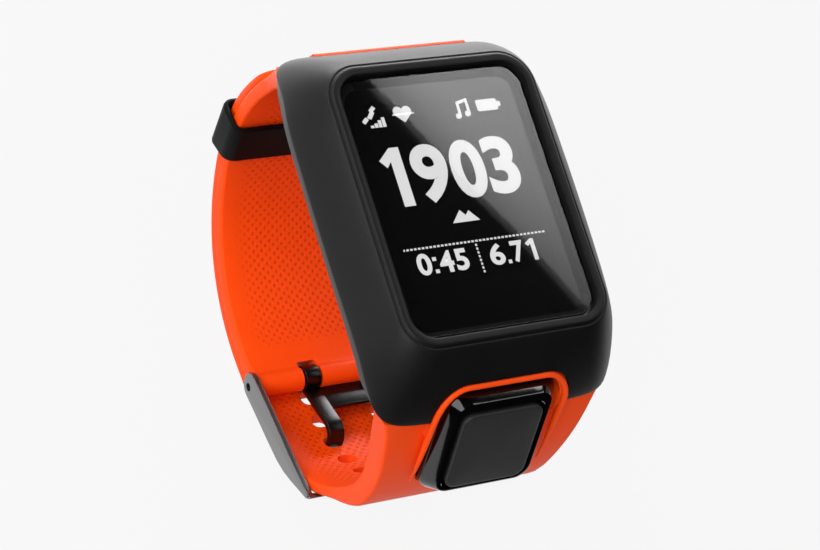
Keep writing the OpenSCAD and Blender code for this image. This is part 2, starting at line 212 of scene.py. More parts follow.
class Finish:
    """A node-based material: one Principled shader and whatever feeds it."""

    def __init__(self, name, colour, roughness, **shader):
        self.material = bpy.data.materials.new(name)
        self.material.use_nodes = True
        self.tree = self.material.node_tree
        self.shader = self.tree.nodes["Principled BSDF"]
        self.set("Base Color", (*colour, 1.0))
        self.set("Roughness", roughness)
        for socket, value in shader.items():
            self.set(socket.replace("_", " "), value)

    def set(self, socket, value):
        target = self.shader.inputs[socket]
        if isinstance(value, Value):
            self.tree.links.new(value.socket, target)
        else:
            target.default_value = value

    def node(self, kind, settings=None, links=None, out=0):
        made = self.tree.nodes.new(kind)
        for key, value in (settings or {}).items():
            if key == "stops":
                elements = made.color_ramp.elements
                while len(elements) < len(value):
                    elements.new(0.5)
                for element, (place, colour) in zip(elements, value):
                    element.position = place
                    element.color = (*colour, 1.0)
            else:
                setattr(made, key, value)
        for key, value in (links or {}).items():
            if isinstance(value, Value):
                self.tree.links.new(value.socket, made.inputs[key])
            else:
                made.inputs[key].default_value = value
        return Value(self, made.outputs[out])

    def place(self):
        """The object's own coordinates, in metres."""
        return self.node("ShaderNodeTexCoord", out="Object")

    def axes(self):
        """The object's X, Y and Z in millimetres."""
        split = self.node("ShaderNodeSeparateXYZ", links={0: self.place()})
        outputs = split.socket.node.outputs
        return [Value(self, outputs[i]) / MM for i in range(3)]

    def noise(self, scale_mm, detail=2.0, roughness=0.5, squeeze=(1, 1, 1)):
        """Noise whose lumps are about scale_mm across."""
        mapped = self.node("ShaderNodeMapping", links={0: self.place(), "Scale": squeeze})
        links = {"Vector": mapped, "Scale": 1 / (scale_mm * MM), "Detail": detail, "Roughness": roughness}
        return self.node("ShaderNodeTexNoise", links=links)

    def ramp(self, factor, stops):
        return self.node("ShaderNodeValToRGB", {"stops": stops}, {0: factor})

    def mix(self, factor, first, second):
        """Colour mix; factor may be a number or a Value."""
        links = {0: factor, 6: colour4(first), 7: colour4(second)}
        return self.node("ShaderNodeMix", {"data_type": "RGBA"}, links, out=2)

    def bump(self, height, distance_mm, strength=1.0):
        links = {"Height": height, "Distance": distance_mm * MM, "Strength": strength}
        return self.node("ShaderNodeBump", links=links)


def colour4(value):
    return value if isinstance(value, Value) else (*value, 1.0)


def shade(colour, factor):
    return tuple(c * factor for c in colour)


def soft_touch():
    """Black rubber-coated plastic with a fine grain."""
    base = (0.0052, 0.0052, 0.0053)
    f = Finish("soft_touch_black", base, 0.46, Specular_IOR_Level=0.4)
    grain = f.noise(0.16, 3)
    cloud = f.noise(7.0, 2)
    f.set("Base Color", f.mix(cloud * 0.7 + grain * 0.3, shade(base, 0.82), shade(base, 1.22)))
    f.set("Roughness", cloud * 0.08 + grain * 0.1 + 0.38)
    f.set("Normal", f.bump(grain, 0.02, 0.55))
    return f.material


ORANGE = (1.0, 0.068, 0.001)


def strap_rubber(name, dimpled=True):
    """Orange rubber, satin; on the skin side a staggered grid of small pits, their colour darkened as painted
    shade.

    The pits follow the strap through two attributes: across in millimetres and along in millimetres.
    """
    f = Finish(name, ORANGE, 0.5, Specular_IOR_Level=0.14)
    grain = f.noise(0.12, 2)
    cloud = f.noise(9.0, 2)
    colour = f.mix(cloud, shade(ORANGE, 0.93), (1.0, 0.078, 0.004))
    height = grain * 0.25
    if dimpled:
        across = f.node("ShaderNodeAttribute", {"attribute_name": "across"}, out="Fac")
        along = f.node("ShaderNodeAttribute", {"attribute_name": "along"}, out="Fac")
        skin = f.node("ShaderNodeAttribute", {"attribute_name": "skin"}, out="Fac")
        pitch = 1.3
        turn = 2 * math.pi / pitch
        rows = (across * turn).wave() * (along * turn).wave()
        pit_depth_and_shade = (rows - 0.1).most(0.0) * (1 / 0.9) * skin
        # Painted shade: the pits' colour is darkened to 0.72 of the orange, as if shade fell in them; their real
        # depth comes from the bump below.
        colour = f.mix(pit_depth_and_shade, colour, shade(ORANGE, 0.72))
        height = height - pit_depth_and_shade * 0.9
    f.set("Base Color", colour)
    f.set("Roughness", cloud * 0.1 + 0.42)
    f.set("Normal", f.bump(height, 0.09, 0.9))
    return f.material


def keeper_rubber():
    """Black rubber with a fine grain."""
    base = (0.0022, 0.0024, 0.0025)
    f = Finish("black_rubber", base, 0.5, Specular_IOR_Level=0.12)
    grain = f.noise(0.2, 3)
    f.set("Base Color", f.mix(grain, shade(base, 0.75), shade(base, 1.35)))
    f.set("Roughness", grain * 0.14 + 0.46)
    f.set("Normal", f.bump(grain, 0.025, 0.6))
    return f.material


def plated(name, base, roughness, grain_mm=0.1, squeeze=(1, 14, 14)):
    """Plated steel, blasted, with faint grinding marks along it."""
    f = Finish(name, base, roughness, Metallic=1.0)
    speck = f.noise(grain_mm, 3)
    drag = f.noise(2.4, 2, 0.5, squeeze)
    f.set("Base Color", f.mix(speck * 0.5 + drag * 0.5, shade(base, 0.84), shade(base, 1.16)))
    f.set("Roughness", speck * 0.08 + drag * 0.1 + (roughness - 0.09))
    f.set("Normal", f.bump(speck, 0.012, 0.4))
    return f.material


def gloss_plastic(name, base, roughness=0.09):
    """Polished plastic, with the slow waves of a moulded face."""
    f = Finish(name, base, roughness, Specular_IOR_Level=0.55, Coat_Weight=0.4, Coat_Roughness=0.05)
    wave = f.noise(5.0, 1)
    f.set("Base Color", f.mix(wave, shade(base, 0.9), shade(base, 1.15)))
    f.set("Roughness", f.noise(0.5, 2) * 0.05 + (roughness - 0.025))
    f.set("Normal", f.bump(wave, 0.02, 0.25))
    return f.material


def pad_plastic():
    """The pad's fine spark texture, in lines across it."""
    base = (0.022, 0.022, 0.0225)
    f = Finish("pad_plastic", base, 0.48, Specular_IOR_Level=0.5)
    x, y, z = f.axes()
    down = y * -math.cos(POD_ANGLE) - z * math.sin(POD_ANGLE)
    turn = 2 * math.pi / 0.26
    lines = (x * turn).wave() * (down * turn).wave()
    grain = f.noise(0.14, 2)
    f.set("Base Color", f.mix(grain * 0.6 + lines * 0.2 + 0.2, shade(base, 0.75), shade(base, 1.3)))
    f.set("Roughness", grain * 0.14 + 0.42)
    f.set("Normal", f.bump(lines * 0.5 + grain, 0.02, 0.6))
    return f.material


def lens_material():
    """Clear dark glass over the display."""
    f = Finish("lens", (0.002, 0.002, 0.002), 0.03, Alpha=0.4, IOR=1.52, Specular_IOR_Level=0.5)
    f.set("Roughness", f.noise(6.0, 1) * 0.01 + 0.02)
    return f.material


def printed_black():
    """The black print on the underside of the lens."""
    f = Finish("mask_print", (0.0015, 0.0015, 0.0015), 0.3, Specular_IOR_Level=0.2)
    f.set("Roughness", f.noise(0.3, 2) * 0.1 + 0.25)
    return f.material


def panel_black():
    """The unlit liquid crystal, with its rows of cells."""
    f = Finish("display_black", (0.006, 0.006, 0.0062), 0.6, Specular_IOR_Level=0.1)
    x, y, z = f.axes()
    turn = 2 * math.pi / 0.15
    cells = (x * turn).wave().most((y * turn).wave())
    f.set("Base Color", f.mix(cells * 0.5 + 0.5, (0.011, 0.011, 0.0112), (0.015, 0.015, 0.0155)))
    return f.material


def lit_cells():
    """The display's white segments, made to glow: painted light, their emission standing in for the light they
    reflect.
    """
    white = (1.0, 1.0, 1.0)
    # Painted light: the segments glow by emission instead of being lit by the lamps.
    f = Finish("lit_cells", (0.6, 0.6, 0.6), 0.6, Emission_Strength=1.8)
    f.set("Emission Color", f.mix(f.noise(0.15, 1), (0.93, 0.93, 0.94), white))
    return f.material


def plain(name, base, roughness, metallic=0.0, grain_mm=0.3, bump_mm=0.01, **shader):
    """A simple finish for the pieces inside: a colour that varies a little, and a grain."""
    f = Finish(name, base, roughness, Metallic=metallic, **shader)
    grain = f.noise(grain_mm, 3)
    f.set("Base Color", f.mix(grain, shade(base, 0.82), shade(base, 1.15)))
    f.set("Roughness", grain * 0.12 + (roughness - 0.06))
    f.set("Normal", f.bump(grain, bump_mm, 0.5))
    return f.material


def circuit_board():
    """Green solder mask over copper tracks."""
    f = Finish("circuit_board", (0.012, 0.09, 0.04), 0.35, Coat_Weight=0.3)
    x, y, z = f.axes()
    tracks = ((x * 5.2).wave() > 0.62).most((y * 4.1 + f.noise(3.0, 0) * 6).wave() > 0.75)
    f.set("Base Color", f.mix(tracks, (0.010, 0.075, 0.034), (0.03, 0.17, 0.07)))
    f.set("Normal", f.bump(tracks, 0.02, 0.5))
    return f.material


# ---------------------------------------------------------------- mesh tools
def finished(name, bm, material, body, replaced=(), sharp=40):
    """Turns a bmesh in millimetres into a piece in metres that rides on a body."""
    bmesh.ops.recalc_face_normals(bm, faces=bm.faces)
    mesh = bpy.data.meshes.new(name)
    bm.to_mesh(mesh)
    bm.free()
    mesh.transform(Matrix.Scale(MM, 4))
    mesh.shade_smooth()
    mesh.set_sharp_from_angle(angle=math.radians(sharp))
    mesh.materials.append(material)
    piece = bpy.data.objects.new(name, mesh)
    SCENE.collection.objects.link(piece)
    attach(piece, body)
    if replaced:
        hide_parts(*replaced)
    return piece


def loft(bm, rings, caps=True):
    """Extrudes a first ring of points through all the others. Returns the rings of vertices."""
    circle = bmesh.ops.create_circle(bm, segments=len(rings[0]), radius=1.0)["verts"]
    first = sorted(circle, key=lambda v: math.atan2(v.co.y, v.co.x))
    made = [first]
    for vert, point in zip(first, rings[0]):
        vert.co = point
    for ring in rings[1:]:
        last = made[-1]
        edges = [bm.edges.get(pair) for pair in zip(last, last[1:] + last[:1])]
        grown = bmesh.ops.extrude_edge_only(bm, edges=edges)["geom"]
        fresh = {v for v in grown if isinstance(v, bmesh.types.BMVert)}
        row = []
        for vert, point in zip(last, ring):
            twin = next(e.other_vert(vert) for e in vert.link_edges if e.other_vert(vert) in fresh)
            twin.co = point
            row.append(twin)
        made.append(row)
    if caps:
        for row in (made[0], made[-1]):
            edges = [bm.edges.get(pair) for pair in zip(row, row[1:] + row[:1])]
            bmesh.ops.contextual_create(bm, geom=edges)
    return made


def arc_points(centre, radius, from_deg, to_deg, count):
    return [
        Vector(centre) + radius * Vector((math.cos(math.radians(a)), math.sin(math.radians(a))))
        for a in steps(from_deg, to_deg, count)
    ]


def rounded_rect(half_x, half_y, radius, corner_steps=10, side_steps=(8, 10)):
    """Points round a rounded rectangle about the middle, anticlockwise from its right side."""
    radius = min(radius, half_x - 0.01, half_y - 0.01)
    inner_x, inner_y = half_x - radius, half_y - radius
    points = []
    corners = [
        (inner_x, inner_y, 0), (-inner_x, inner_y, 90),
        (-inner_x, -inner_y, 180), (inner_x, -inner_y, 270),
    ]
    for i, (x, y, start) in enumerate(corners):
        arc = arc_points((x, y), radius, start, start + 90, corner_steps)
        points += arc
        next_x, next_y, turn = corners[(i + 1) % 4]
        following = arc_points((next_x, next_y), radius, turn, turn, 1)[0]
        count = side_steps[i % 2]
        points += [arc[-1].lerp(following, k / count) for k in range(1, count)]
    return points


def at_z(points, z, mid_y=0.0):
    return [Vector((p.x, p.y + mid_y, z)) for p in points]


def prism(bm, outline, from_x, to_x):
    """A flat outline in Y and Z, extruded along X."""
    return loft(bm, [[Vector((x, p[0], p[1])) for p in outline] for x in (from_x, to_x)])


def soften(bm, size, segments=2, angle=30):
    """Bevels every edge sharper than the angle."""
    edges = [e for e in bm.edges if len(e.link_faces) == 2 and e.calc_face_angle(0) > math.radians(angle)]
    bmesh.ops.bevel(
        bm, geom=edges, offset=size, segments=segments, profile=0.5, affect="EDGES",
        clamp_overlap=True, material=-1)


def ribbon(points, radii, end_steps=8):
    """Outline of a bar that follows points, with a half width at each and round ends."""
    points = [Vector(p) for p in points]
    left, right = [], []
    for i, p in enumerate(points):
        ahead = points[min(i + 1, len(points) - 1)] - points[max(i - 1, 0)]
        side = Vector((-ahead.y, ahead.x)).normalized()
        left.append(p + side * radii[i])
        right.append(p - side * radii[i])

    def cap(i, start_side):
        ahead = (points[1] - points[0]) if i == 0 else (points[-1] - points[-2])
        start = math.degrees(math.atan2(ahead.y, ahead.x)) + start_side
        return arc_points(points[i], radii[i], start, start - 180, end_steps)[1:-1]

    return left + cap(-1, 90) + right[::-1] + cap(0, -90)


def carve(piece, cutters):
    """Cuts closed meshes in millimetres out of a finished piece, and keeps the result as its mesh."""
    bmesh.ops.recalc_face_normals(cutters, faces=cutters.faces)
    mesh = bpy.data.meshes.new("cutter")
    cutters.to_mesh(mesh)
    cutters.free()
    mesh.transform(Matrix.Scale(MM, 4))
    tool = bpy.data.objects.new("cutter", mesh)
    SCENE.collection.objects.link(tool)
    modifier = piece.modifiers.new("cut", "BOOLEAN")
    modifier.object = tool
    modifier.operation = "DIFFERENCE"
    modifier.solver = "EXACT"
    modifier.use_self = True
    bpy.context.view_layer.update()
    result = bpy.data.meshes.new_from_object(piece.evaluated_get(bpy.context.evaluated_depsgraph_get()))
    piece.modifiers.clear()
    material = piece.data.materials[0]
    piece.data = result
    result.materials.clear()
    result.materials.append(material)
    for face in result.polygons:
        face.material_index = 0
    bpy.data.objects.remove(tool)
    return piece


# ---------------------------------------------------------------- finishes in use
SOFT_TOUCH = soft_touch()
RUBBER = strap_rubber("orange_rubber")
TRIM_RUBBER = strap_rubber("orange_rubber_smooth", dimpled=False)
KEEPER_RUBBER = keeper_rubber()
GUNMETAL = plated("gunmetal", (0.26, 0.26, 0.265), 0.36)
DARK_STEEL = plated("black_steel", (0.045, 0.045, 0.047), 0.3)
GLOSS_BLACK = gloss_plastic("gloss_black", (0.002, 0.002, 0.002))
PAD = pad_plastic()
LENS = lens_material()
MASK = printed_black()
PANEL = panel_black()
# The display's segments glow by emission: painted light.
LIT = lit_cells()
STEEL = plated("steel", (0.55, 0.55, 0.55), 0.3)

CAD_FINISHES = {
    "silicone_seal": plain("silicone_seal", (0.03, 0.03, 0.03), 0.6),
    "case_plastic": plain("case_plastic", (0.018, 0.018, 0.019), 0.5, grain_mm=0.12),
    "steel": STEEL,
    "gold_plate": plain("gold_plate", (0.85, 0.58, 0.2), 0.25, 1.0),
    "circuit_board": circuit_board(),
    "chip_black": plain("chip_black", (0.015, 0.015, 0.015), 0.55),
    "tinned_steel": plain("tinned_steel", (0.62, 0.62, 0.6), 0.35, 1.0),
    "ceramic": plain("ceramic", (0.6, 0.5, 0.36), 0.7),
    "battery_foil": plain("battery_foil", (0.6, 0.61, 0.63), 0.4, 1.0, 1.5, 0.05),
    "led_green": plain("led_green", (0.2, 0.75, 0.35), 0.2),
    "polyimide": plain("polyimide", (0.5, 0.2, 0.04), 0.3),
    "light_guide": plain("light_guide", (0.8, 0.82, 0.85), 0.15),
    "gloss_black": GLOSS_BLACK,
    "soft_touch_black": SOFT_TOUCH,
    "orange_rubber": TRIM_RUBBER,
    "black_rubber": KEEPER_RUBBER,
    "gunmetal": GUNMETAL,
    "black_steel": DARK_STEEL,
    "lens": LENS,
    "pad_plastic": PAD,
    "display_black": PANEL,
}
for part in frame["record"]["subparts"]:
    node = frame["nodes"][part["node"]]
    node.data.materials.clear()
    node.data.materials.append(CAD_FINISHES[part["material_slot"]])


# ---------------------------------------------------------------- bezel
# How flat the flanks are: 2 is straight, 1 is a quarter circle
BEZEL_FLAT = 1.72
# Edge of the bezel from 12 o'clock round to 6 o'clock: half width, Y and height
BEZEL_EDGE = [
    (0.0, 23.3, 4.7), (8.0, 23.3, 4.7), (13.6, 23.2, 4.7), (16.0, 22.5, 4.8), (17.3, 21.2, 5.3),
    (18.2, 19.0, 6.6), (18.8, 16.5, 7.6), (19.6, 11.9, 8.2), (19.8, 3.0, 8.3), (19.75, -7.6, 8.2),
    (19.5, -15.8, 8.0), (19.2, -19.9, 7.4), (18.7, -23.0, 6.1), (17.9, -25.8, 4.7), (16.4, -27.7, 4.2),
    (13.6, -28.6, 4.3), (8.0, -28.9, 4.5), (0.0, -28.9, 4.6),
]


def spline_loop(points, per_span=10):
    """A smooth closed curve through the points."""
    result = []
    count = len(points)
    for i in range(count):
        a, b, c, d = (points[(i + k - 1) % count] for k in range(4))
        for j in range(per_span):
            t = j / per_span
            bend = (2 * a - 5 * b + 4 * c - d) * t * t
            twist = (3 * b - a - 3 * c + d) * t ** 3
            result.append(0.5 * (2 * b + (c - a) * t + bend + twist))
    return result


def ray_hit(loop, centre, direction):
    """Where a ray from the centre crosses a loop, in plan; the height comes with it."""
    best = None
    for a, b in zip(loop, loop[1:] + loop[:1]):
        edge = b - a
        cross = direction.x * edge.y - direction.y * edge.x
        if abs(cross) < 1e-9:
            continue
        to_a = a.xy - centre
        along = (to_a.x * edge.y - to_a.y * edge.x) / cross
        part = (to_a.x * direction.y - to_a.y * direction.x) / cross
        if along > 0 and -1e-6 <= part <= 1 + 1e-6:
            best = a.lerp(b, min(1, max(0, part)))
    return best


def bezel_piece():
    right = [Vector(p) for p in BEZEL_EDGE]
    left = [Vector((-p.x, p.y, p.z)) for p in right[-2:0:-1]]
    loop = spline_loop(right + left)
    centre = Vector((0, LENS_MID))

    def rim(offset, z):
        points = rounded_rect(LENS_X + offset, LENS_Y + offset, LENS_CORNER + offset, 12, (18, 26))
        return at_z(points, z, LENS_MID)

    shoulder = rim(1.75, RIM_Z - 0.42)
    edge = [ray_hit(loop, centre, (p.xy - centre)) for p in shoulder]
    rings = [
        rim(0.12, LENS_UNDER - 0.2), rim(0.14, RIM_Z - 0.45), rim(0.22, RIM_Z - 0.12), rim(0.45, RIM_Z),
        rim(1.05, RIM_Z - 0.02), rim(1.28, RIM_Z - 0.12), rim(1.42, RIM_Z - 0.34), rim(1.52, RIM_Z - 0.46),
        rim(1.62, RIM_Z - 0.46),
    ]
    for turn in steps(0, 90, 16):
        s = math.sin(math.radians(turn)) ** BEZEL_FLAT
        drop = 1 - max(0.0, math.cos(math.radians(turn))) ** BEZEL_FLAT
        rings.append([
            Vector((*p.xy.lerp(q.xy, s), p.z + (q.z - p.z) * drop)) for p, q in zip(shoulder, edge)])

    def under(inset, drop):
        ring = []
        for p in edge:
            inward = (centre - p.xy).normalized() * inset
            end = ease((abs(p.y - LENS_MID) - 19) / 5)
            ring.append(Vector((p.x + inward.x, p.y + inward.y, p.z - drop * (1 - 0.85 * end))))
        return ring

    rings += [under(0.06, 0.3), under(0.35, 1.7), under(0.6, 2.0), under(1.2, 2.1), under(3.2, 2.1)]
    rings.append(rim(0.9, LENS_UNDER - 3.0))
    rings.append(rim(0.12, LENS_UNDER - 0.2))
    bm = bmesh.new()
    loft(bm, rings, caps=False)
    bmesh.ops.remove_doubles(bm, verts=bm.verts, dist=0.001)
    piece = finished("bezel", bm, SOFT_TOUCH, "case", ["bezel_frame"], 55)

    cut = bmesh.new()
    outline = rounded_rect(10.4, 9.0, 4.4, 14, (4, 4))
    loft(cut, [[Vector((p.x, y, p.y + 0.25)) for p in outline] for y in (-40, -22.4)])
    carve(piece, cut)
    ears = bmesh.new()
    step = rounded_rect(11.9, 5.0, 0.7, 5, (4, 4))
    loft(ears, [[Vector((p.x, p.y + 27.2, z)) for p in step] for z in (-5, 11)])
    carve(piece, ears)
    piece.data.shade_smooth()
    piece.data.set_sharp_from_angle(angle=math.radians(38))
    return piece


bezel_piece()


# ---------------------------------------------------------------- straps
def strap_section(half, low, high, edge, across_steps=14):
    """Points of a strap's section: across, and how far out, starting on the skin side."""
    points = []
    for x, r, start in ((half - edge, low + edge, 270), (half - edge, high - edge, 0),
                        (-half + edge, high - edge, 90), (-half + edge, low + edge, 180)):
        points += arc_points((x, r), edge, start, start + 90, 4)
    inner = half - edge
    top = [Vector((inner - 2 * inner * k / across_steps, high)) for k in range(1, across_steps)]
    bottom = [Vector((-inner + 2 * inner * k / across_steps, low)) for k in range(1, across_steps)]
    return points[:10] + top + points[10:] + bottom


def strap_rings(stations):
    """stations: (angle, half width, inner radius, outer radius) along the strap."""
    rings = []
    for a, half, low, high in stations:
        edge = min(0.42, (high - low) * 0.36)
        rings.append([polar(a, p.y, p.x) for p in strap_section(half, low, high, edge)])
    return rings


def mark_skin(piece, stops, half_margin, radius):
    """Writes where the pits go: across and along the strap in millimetres, and a mask for its skin side."""
    mesh = piece.data
    across = mesh.attributes.new("across", "FLOAT", "POINT")
    along = mesh.attributes.new("along", "FLOAT", "POINT")
    skin = mesh.attributes.new("skin", "FLOAT", "POINT")
    for i, vert in enumerate(mesh.vertices):
        p = vert.co / MM
        y, z = p.y - LOOP.y, p.z - LOOP.z
        a = math.degrees(math.atan2(z, y)) % 360
        if a < 40:
            a += 360
        across.data[i].value = p.x
        along.data[i].value = math.radians(a) * radius
        facing = vert.normal.y * -y + vert.normal.z * -z
        inside = facing / max(1e-6, math.hypot(y, z)) > 0.8
        margin = ease((half_margin - abs(p.x)) / 0.8)
        ends = ease((a - stops[0]) / 2) * ease((stops[1] - a) / 2)
        skin.data[i].value = margin * ends if inside else 0.0


def long_strap_piece():
    stations = []
    for a in steps(ROOT_A, 185, 16) + steps(188, 262, 40) + steps(265, TIP_A - 8, 48):
        z = polar(a, (inner_r(a) + outer_r(a)) / 2).z
        half = lookup(LONG_WIDTHS, z) if a < 240 else LONG_HW
        stations.append((a, half, inner_r(a), outer_r(a)))
    reach = 8.0
    for k in steps(0.12, 0.995, 12):
        a = TIP_A - 8 + reach * math.sin(k * math.pi / 2)
        narrow = math.cos(k * math.pi / 2) ** 0.55
        thin = 0.35 + 0.65 * math.cos(k * math.pi / 2) ** 0.5
        middle = (inner_r(a) + outer_r(a)) / 2
        gap = (outer_r(a) - inner_r(a)) / 2 * thin
        stations.append((a, max(1.0, LONG_HW * (0.45 + 0.55 * narrow)), middle - gap, middle + gap))
    bm = bmesh.new()
    loft(bm, strap_rings(stations))
    piece = finished("long_strap_moulding", bm, RUBBER, "case", ["long_strap"])
    cut = bmesh.new()
    for row in range(HOLE_ROWS):
        a = HOLE_A + row * HOLE_STEP
        middle = (inner_r(a) + outer_r(a)) / 2
        for x in (-HOLE_X, HOLE_X):
            oval = rounded_rect(1.42, 1.12, 1.08, 8, (2, 2))
            spin = Matrix.Rotation(math.radians(a - 90), 4, "X")
            place = Matrix.Translation(polar(a, middle, x)) @ spin
            loft(cut, [[place @ Vector((p.x, p.y, z)) for p in oval] for z in (-3, 3)])
    w = rounded_rect(8.72, 8.6, 2.4, 8, (4, 4))
    loft(cut, [[POD_FRAME @ Vector((p.x, p.y + 0.45, z)) for p in w] for z in (-4.3, 8)])
    carve(piece, cut)
    mark_skin(piece, (196, 330), 9.8, 29.5)
    piece.data.shade_smooth()
    piece.data.set_sharp_from_angle(angle=math.radians(42))
    return piece


def short_strap_piece():
    mid = SHORT_R + SHORT_T / 2
    stations = []
    for a in steps(388, 262, 60):
        z = polar(a, mid).z
        half = lookup(SHORT_WIDTHS, z) if a > 340 else SHORT_HW
        stations.append((a, half, SHORT_R, SHORT_R + SHORT_T + blend(a, 374.5, 388, 0, 0.5)))
    # Then the barrel, by distance along the strap from the pin
    for s in [-3.6, -3.0, -2.5, -2.1, -1.8, -1.5, -1.2, -0.8, -0.4, 0, 0.4, 0.8, 1.15, 1.4, 1.58, 1.68]:
        a = PIN_A - math.degrees(s / mid)
        round_half = math.sqrt(max(0.02, BARREL_R ** 2 - s * s))
        half_t = round_half
        if s < -0.5:
            swell = (round_half - SHORT_T / 2) * ease((s + 3.2) / 2.6)
            half_t = max(SHORT_T / 2 + swell, SHORT_T / 2)
        stations.append((a, SHORT_HW if s < -1.9 else SHORT_HW - 0.3, mid - half_t, mid + half_t))
    # The root, from the end of the loop up to the case
    rings = []
    root_high = SHORT_T + 0.5
    for t in steps(1, 0.1, 8):
        outer = polar(388, SHORT_R + root_high).lerp(Vector((0, 22.2, 3.7)), t)
        inner = polar(388, SHORT_R).lerp(Vector((0, 18.5, 3.5)), t)
        outer += Vector((0, 0.5, 0)) * math.sin(math.pi * t)
        thick = (outer - inner).length
        half = lookup(SHORT_WIDTHS, (outer.z + inner.z) / 2)
        section = strap_section(half, 0, thick, min(0.42, thick * 0.36))
        rings.append([inner.lerp(outer, p.y / thick) + Vector((p.x, 0, 0)) for p in section])
    bm = bmesh.new()
    loft(bm, rings + strap_rings(stations))
    tongue = [(20.3, 0.6), (20.3, 3.8), (21.6, 5.3), (22.2, 5.5), (22.35, 6.4), (22.5, 6.55), (22.75, 6.5),
              (23.05, 6.1), (23.24, 5.0), (23.15, 3.0), (22.4, 1.0)]
    prism(bm, tongue, -11.6, 11.6)
    piece = finished("short_strap_moulding", bm, RUBBER, "case", ["short_strap"])
    cut = bmesh.new()
    for x in (-HOLE_X, HOLE_X):
        slot = rounded_rect(1.5, 3.0, 0.35, 4, (2, 2))
        loft(cut, [[Vector((x + p.x, PIN.y - 0.65 + p.y, PIN.z + z)) for p in slot] for z in (-4, 4)])
    carve(piece, cut)
    mark_skin(piece, (263, 389), 10.0, 24.0)
    piece.data.shade_smooth()
    piece.data.set_sharp_from_angle(angle=math.radians(42))
    return piece


long_strap_piece()
short_strap_piece()


# ---------------------------------------------------------------- trim lip
def trim_lip_piece():
    """The orange lip in the bezel's cut-out, which runs out as a ridge down both sides of the pod."""
    path = [lip_point(t) for t in steps(0, 1, 60)]
    rings = []
    for i, (p, normal, width, rise) in enumerate(path):
        ahead = (path[min(i + 1, len(path) - 1)][0] - path[max(i - 1, 0)][0]).normalized()
        side = ahead.cross(normal).normalized()
        ring = []
        for k in range(12):
            turn = 2 * math.pi * k / 12
            ring.append(p + side * (math.cos(turn) * width / 2) + normal * (math.sin(turn) * rise))
        rings.append(ring)
    bm = bmesh.new()
    loft(bm, rings)
    return finished("pod_trim_lip", bm, TRIM_RUBBER, "case", sharp=60)


# The wall's and the lip's Y by height, down the case and strap
TRIM_BACK = [(-9, -28.6), (0, -27.0), (3.0, -25.0), (4.5, -22.6)]
TRIM_FRONT = [
    (-9, -29.5), (0, -29.5), (3.0, -29.3), (4.5, -28.75),
    (6.0, -27.95), (7.3, -27.05), (9.2, -25.7),
]
LIP_FRONT = [
    (-6.0, -33.2), (-3.4, -32.3), (0.0, -30.8), (3.0, -29.4),
    (4.5, -28.8), (6.0, -28.0), (7.3, -27.1), (8.7, -26.1),
]


def trim_wall_piece():
    """The orange wall between the bezel's cut-out and the pod, its front in line with the bezel."""
    outer = rounded_rect(10.25, 8.98, 4.3, 12, (8, 8))
    inner = rounded_rect(9.2, 8.4, 3.6, 12, (8, 8))

    def ring(outline, mid_z, depths, proud=0.0):
        return [Vector((p.x, lookup(depths, p.y + mid_z) - proud, p.y + mid_z)) for p in outline]

    middle = [a.lerp(b, 0.45) for a, b in zip(outer, inner)]
    rings = [
        ring(outer, 0.15, TRIM_BACK),
        ring(outer, 0.15, TRIM_FRONT, -0.25),
        ring(middle, 0.0, TRIM_FRONT, 0.12),
        ring(inner, -0.2, TRIM_FRONT, -0.3),
        ring(inner, -0.2, TRIM_BACK),
        ring(outer, 0.15, TRIM_BACK),
    ]
    bm = bmesh.new()
    loft(bm, rings, caps=False)
    bmesh.ops.remove_doubles(bm, verts=bm.verts, dist=0.0005)
    return finished("pod_trim_wall", bm, TRIM_RUBBER, "case", sharp=60)


def lip_point(t):
    """A point of the lip's path with its outward normal, width and height. t runs from side to side."""
    u = abs(2 * t - 1)
    side = 1 if t > 0.5 else -1
    low_z, top_z = -6.0, 8.65
    half, corner = 9.85, 4.0
    lengths = [half - corner, corner * math.pi / 2, top_z - corner - low_z]
    run = u * sum(lengths)
    if run <= lengths[0]:
        x, z = run, top_z
    elif run <= lengths[0] + lengths[1]:
        turn = (run - lengths[0]) / corner
        x, z = half - corner + corner * math.sin(turn), top_z - corner + corner * math.cos(turn)
    else:
        x, z = half, top_z - corner - (run - lengths[0] - lengths[1])
    fade = ease((z + 6.5) / 9)
    width, rise = 0.9 * (0.5 + 0.5 * fade), 0.42 * fade + 0.12
    return Vector((side * x, lookup(LIP_FRONT, z), z)), Vector((0, -0.9, 0.43)), width, rise


trim_lip_piece()
trim_wall_piece()


# ---------------------------------------------------------------- keeper
def keeper_piece():
    """A rounded loop round both strap layers, bent to the strap's curve."""
    low, high = SHORT_R - 1.05, KEEPER_R + LONG_T + 1.1
    middle = (low + high) / 2
    bm = bmesh.new()
    rings = []

    def path(inset, radius):
        return rounded_rect(SHORT_HW + 1.0 - inset, (high - low) / 2 - inset, radius, 6, (6, 24))

    outer, inner = path(0.0, 1.7), path(0.85, 0.8)
    half = 3.4
    for loop, s in ((inner, -half + 0.25), (path(0.7, 0.95), -half + 0.05), (path(0.28, 1.4), -half),
                    (path(0.06, 1.64), -half + 0.16), (outer, -half + 0.42), (outer, half - 0.42),
                    (path(0.06, 1.64), half - 0.16), (path(0.28, 1.4), half), (path(0.7, 0.95), half - 0.05),
                    (inner, half - 0.25), (inner, -half + 0.25)):
        rings.append([polar(KEEPER_A - math.degrees(s / 26), middle + p.y, p.x) for p in loop])
    loft(bm, rings, caps=False)
    bmesh.ops.remove_doubles(bm, verts=bm.verts, dist=0.001)
    return finished("keeper_band", bm, KEEPER_RUBBER, "keeper", ["keeper_loop"], 50)


keeper_piece()


# ---------------------------------------------------------------- buckle
BAR_A = 211
BAR_R = BELLY_R + LONG_T + 0.36
BUCKLE_HW = 14.4
PLATE_T = 0.9


